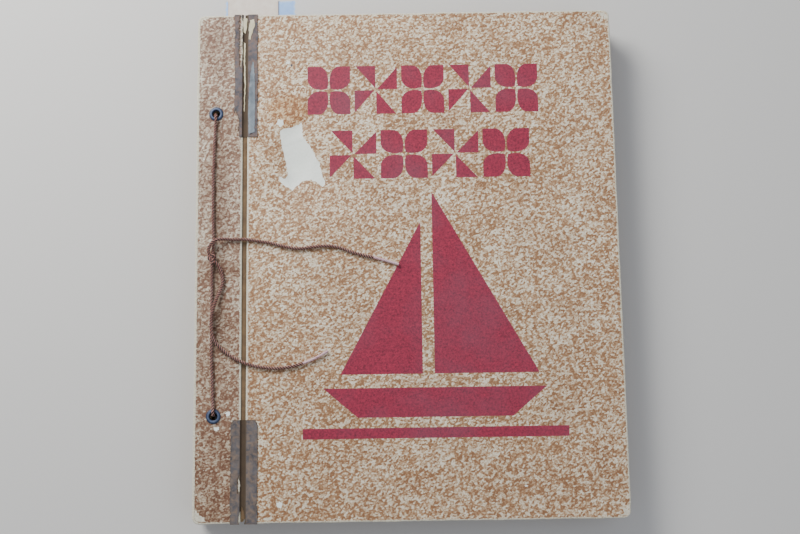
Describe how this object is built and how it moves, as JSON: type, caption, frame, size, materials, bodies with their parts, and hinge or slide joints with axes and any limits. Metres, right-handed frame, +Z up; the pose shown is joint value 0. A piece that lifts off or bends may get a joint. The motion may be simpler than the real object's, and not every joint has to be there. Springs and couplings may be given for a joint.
{
  "type": "scrapbook album",
  "caption": "Laced scrapbook album: speckled board covers hinged with cloth, loose paper leaves, and a twisted cord through eyelets, knotted in front.",
  "frame": {"origin": "on the surface that the back cover rests on, under the middle of the boards", "axes": "+X from the laced edge to the open edge, +Y to the head of the album, +Z up through the front cover"},
  "size_m": [0.252, 0.3195, 0.0256],
  "materials": {
    "speckled_board": "pulp board covered in tan paper with a cream and brown speckle, worn at the edges",
    "blackened_eyelet": "japanned, slightly worn",
    "hinge_cloth": "woven book cloth",
    "mending_tape": "worn cloth tape",
    "leaf_paper": "uncoated, browned at the edges",
    "slip_paper": "matt",
    "pale_card": "smooth",
    "twisted_cord": "two-ply twisted",
    "stiffened_tip": "lacquered hard"
  },
  "bodies": {
    "binding": {"front_strip": "speckled_board", "back_strip": "speckled_board", "front_eyelet_head": "blackened_eyelet", "front_eyelet_foot": "blackened_eyelet", "back_eyelet_head": "blackened_eyelet", "back_eyelet_foot": "blackened_eyelet", "lacing_cord": "twisted_cord", "cord_knot": "twisted_cord", "tucked_slip": "slip_paper", "tucked_card": "pale_card", "leaf_01_margin": "leaf_paper", "leaf_02_margin": "leaf_paper", "leaf_03_margin": "leaf_paper", "leaf_04_margin": "leaf_paper", "leaf_05_margin": "leaf_paper", "leaf_06_margin": "leaf_paper", "leaf_07_margin": "leaf_paper", "leaf_08_margin": "leaf_paper", "leaf_09": "leaf_paper", "leaf_10": "leaf_paper", "leaf_11": "leaf_paper", "leaf_12": "leaf_paper", "leaf_13": "leaf_paper", "leaf_14": "leaf_paper", "leaf_15": "leaf_paper"},
    "front_cover": {"front_cover": "speckled_board", "front_hinge_cloth": "hinge_cloth", "mending_tape_head": "mending_tape", "mending_tape_foot": "mending_tape", "cord_tail_upper": "twisted_cord", "cord_tip_upper": "stiffened_tip", "cord_tail_lower": "twisted_cord", "cord_tip_lower": "stiffened_tip"},
    "back_cover": {"back_cover": "speckled_board", "back_hinge_cloth": "hinge_cloth"},
    "leaf_01": {"leaf_01": "leaf_paper"},
    "leaf_02": {"leaf_02": "leaf_paper"},
    "leaf_03": {"leaf_03": "leaf_paper"},
    "leaf_04": {"leaf_04": "leaf_paper"},
    "leaf_05": {"leaf_05": "leaf_paper"},
    "leaf_06": {"leaf_06": "leaf_paper"},
    "leaf_07": {"leaf_07": "leaf_paper"},
    "leaf_08": {"leaf_08": "leaf_paper"}
  },
  "joints": [
    {"name": "front_cover_hinge", "type": "hinge", "parent": "binding", "child": "front_cover", "pos_m": [-0.0984, 0, 0.0195], "axis": [0, -1, 0], "range_deg": [0, 120], "deforming": ["front_hinge_cloth", "mending_tape_head", "mending_tape_foot", "cord_tail_upper", "cord_tail_lower"]},
    {"name": "back_cover_hinge", "type": "hinge", "parent": "binding", "child": "back_cover", "pos_m": [-0.0984, 0, 0.0046], "axis": [0, 1, 0], "range_deg": [0, 100], "deforming": ["back_hinge_cloth"]},
    {"name": "leaf_01_turn", "type": "hinge", "parent": "binding", "child": "leaf_01", "pos_m": [-0.0931, 0, 0.01825], "axis": [0, -1, 0], "range_deg": [0, 103.7]},
    {"name": "leaf_02_turn", "type": "hinge", "parent": "binding", "child": "leaf_02", "pos_m": [-0.0921, 0, 0.01745], "axis": [0, -1, 0], "range_deg": [0, 94.1]},
    {"name": "leaf_03_turn", "type": "hinge", "parent": "binding", "child": "leaf_03", "pos_m": [-0.0911, 0, 0.01665], "axis": [0, -1, 0], "range_deg": [0, 84.5]},
    {"name": "leaf_04_turn", "type": "hinge", "parent": "binding", "child": "leaf_04", "pos_m": [-0.0901, 0, 0.01585], "axis": [0, -1, 0], "range_deg": [0, 74.9]},
    {"name": "leaf_05_turn", "type": "hinge", "parent": "binding", "child": "leaf_05", "pos_m": [-0.0891, 0, 0.01505], "axis": [0, -1, 0], "range_deg": [0, 65.3]},
    {"name": "leaf_06_turn", "type": "hinge", "parent": "binding", "child": "leaf_06", "pos_m": [-0.0881, 0, 0.01425], "axis": [0, -1, 0], "range_deg": [0, 55.7]},
    {"name": "leaf_07_turn", "type": "hinge", "parent": "binding", "child": "leaf_07", "pos_m": [-0.0871, 0, 0.01345], "axis": [0, -1, 0], "range_deg": [0, 46.1]},
    {"name": "leaf_08_turn", "type": "hinge", "parent": "binding", "child": "leaf_08", "pos_m": [-0.0861, 0, 0.01265], "axis": [0, -1, 0], "range_deg": [0, 36.5]}
  ],
  "couplings": [
    {"joint": "leaf_01_turn", "follows": "front_cover_hinge", "ratio": 0.86},
    {"joint": "leaf_02_turn", "follows": "front_cover_hinge", "ratio": 0.78},
    {"joint": "leaf_03_turn", "follows": "front_cover_hinge", "ratio": 0.7},
    {"joint": "leaf_04_turn", "follows": "front_cover_hinge", "ratio": 0.62},
    {"joint": "leaf_05_turn", "follows": "front_cover_hinge", "ratio": 0.54},
    {"joint": "leaf_06_turn", "follows": "front_cover_hinge", "ratio": 0.46},
    {"joint": "leaf_07_turn", "follows": "front_cover_hinge", "ratio": 0.38},
    {"joint": "leaf_08_turn", "follows": "front_cover_hinge", "ratio": 0.3}
  ]
}
